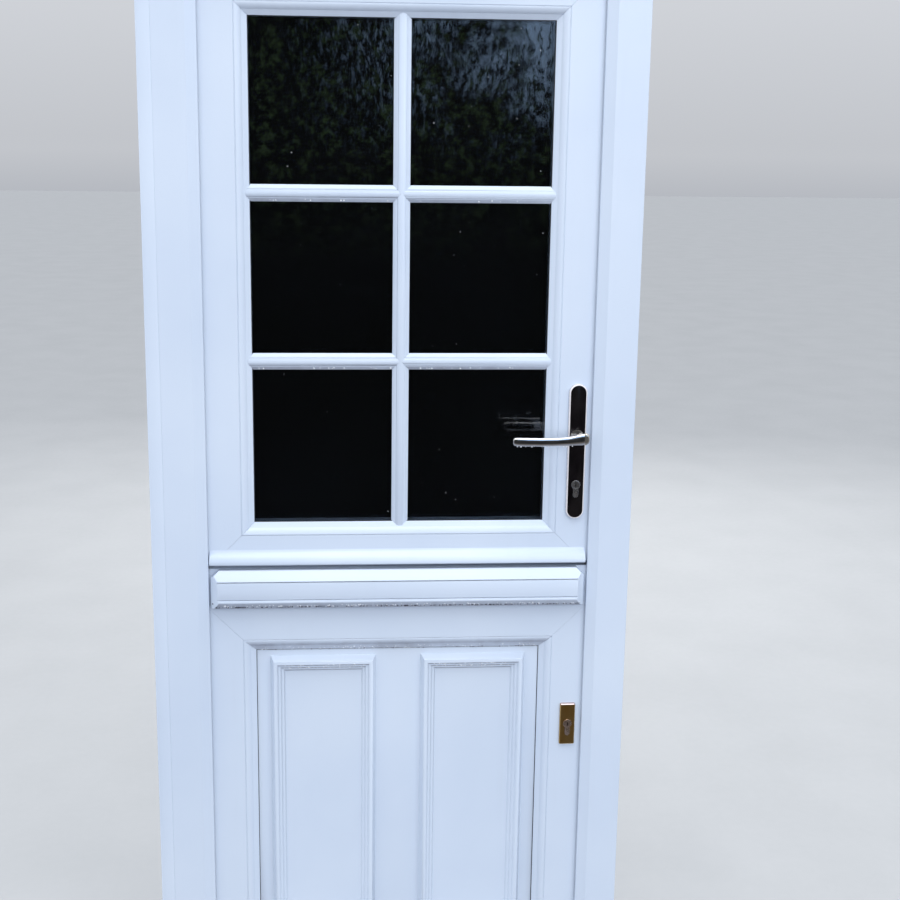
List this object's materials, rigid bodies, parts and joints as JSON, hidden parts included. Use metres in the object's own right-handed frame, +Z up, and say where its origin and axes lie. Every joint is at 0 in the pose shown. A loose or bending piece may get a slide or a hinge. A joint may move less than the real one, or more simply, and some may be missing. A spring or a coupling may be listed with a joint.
{
  "type": "dutch stable door with frame",
  "caption": "White stable door in its frame: glazed top leaf and panelled lower leaf swing inwards separately, with lever lock, deadlock, weather bar and drip rail.",
  "frame": {"origin": "middle of the frame's underside, half way through its depth", "axes": "+X to the right seen from outside, +Y into the building, +Z up"},
  "size_m": [0.9, 0.185, 2.11],
  "materials": {
    "upvc": "satin",
    "steel": "satin",
    "white_hinge": "satin",
    "pin_steel": "satin",
    "seal": "matt",
    "glass": "polished",
    "spacer": "matt",
    "black_plate": "gloss",
    "chrome": "polished",
    "brass": "polished",
    "nickel": "satin"
  },
  "bodies": {
    "frame": {"frame_head": "upvc", "frame_jamb_hinge_side": "upvc", "frame_jamb_lock_side": "upvc", "frame_threshold": "upvc", "frame_extender": "upvc", "frame_steels": "steel", "frame_seal": "seal", "lock_keeps": "steel", "frame_hinge_halves": "white_hinge", "hinge_pins": "pin_steel", "frame_screws": "steel"},
    "top_leaf": {"top_leaf_head_rail": "upvc", "top_leaf_foot_rail": "upvc", "top_leaf_hinge_stile": "upvc", "top_leaf_lock_stile": "upvc", "top_leaf_steels": "steel", "outer_pane": "glass", "inner_pane": "glass", "pane_spacer": "spacer", "top_leaf_gaskets": "seal", "outer_upright_bar": "upvc", "outer_cross_bars": "upvc", "inner_glazing_bars": "upvc", "top_leaf_beads": "upvc", "weather_bar": "upvc", "outside_handle_plate": "black_plate", "inside_handle_plate": "chrome", "upper_lock_case": "steel", "upper_lock_strip": "steel", "upper_cylinder": "nickel", "top_leaf_hinge_halves": "white_hinge", "top_leaf_screws": "steel", "leaf_bolt_guide": "steel"},
    "lever": {"outside_lever": "chrome", "inside_lever": "chrome", "spindle": "steel", "lock_follower": "steel"},
    "upper_bolts": {"upper_bolts": "steel"},
    "upper_latch": {"upper_latch": "steel"},
    "upper_plug": {"upper_cylinder_plug": "nickel"},
    "leaf_bolt": {"leaf_bolt": "steel"},
    "lower_leaf": {"lower_leaf_head_rail": "upvc", "lower_leaf_foot_rail": "upvc", "lower_leaf_hinge_stile": "upvc", "lower_leaf_lock_stile": "upvc", "lower_leaf_steels": "steel", "lower_panel": "upvc", "lower_leaf_gaskets": "seal", "lower_leaf_beads": "upvc", "meeting_rail": "upvc", "drip_rail": "upvc", "lower_leaf_hinge_halves": "white_hinge", "lower_leaf_screws": "steel", "lower_lock_case": "steel", "lower_cylinder": "nickel", "escutcheons": "brass", "leaf_bolt_keep": "steel"},
    "lower_bolt": {"lower_bolt": "steel"},
    "lower_plug": {"lower_cylinder_plug": "nickel"}
  },
  "joints": [
    {"name": "top_leaf_swing", "type": "hinge", "parent": "frame", "child": "top_leaf", "pos_m": [-0.385, 0.06, 1.505], "axis": [0, 0, 1], "range_deg": [0, 95]},
    {"name": "lower_leaf_swing", "type": "hinge", "parent": "frame", "child": "lower_leaf", "pos_m": [-0.385, 0.06, 0.495], "axis": [0, 0, 1], "range_deg": [0, 95]},
    {"name": "lever_turn", "type": "hinge", "parent": "top_leaf", "child": "lever", "pos_m": [0.345, 0.02, 1.191], "axis": [0, 1, 0], "range_deg": [-35, 45], "stiffness_Nm_per_rad": 3},
    {"name": "upper_bolts_slide", "type": "slide", "parent": "top_leaf", "child": "upper_bolts", "axis": [1, 0, 0], "range_m": [-0.0156, 0.0201]},
    {"name": "upper_latch_slide", "type": "slide", "parent": "top_leaf", "child": "upper_latch", "axis": [1, 0, 0], "range_m": [0, 0.012]},
    {"name": "upper_plug_turn", "type": "hinge", "parent": "top_leaf", "child": "upper_plug", "pos_m": [0.345, 0.02, 1.099], "axis": [0, 1, 0], "range_deg": [0, 360]},
    {"name": "leaf_bolt_slide", "type": "slide", "parent": "top_leaf", "child": "leaf_bolt", "axis": [0, 0, -1], "range_m": [0, 0.03]},
    {"name": "lower_plug_turn", "type": "hinge", "parent": "lower_leaf", "child": "lower_plug", "pos_m": [0.345, 0.02, 0.614], "axis": [0, 1, 0], "range_deg": [0, 360]},
    {"name": "lower_bolt_slide", "type": "slide", "parent": "lower_leaf", "child": "lower_bolt", "axis": [1, 0, 0], "range_m": [0, 0.0201]}
  ],
  "couplings": [
    {"joint": "upper_bolts_slide", "follows": "lever_turn", "m_per_rad": 0.025465},
    {"joint": "lower_bolt_slide", "follows": "lower_plug_turn", "m_per_rad": 0.003183}
  ]
}
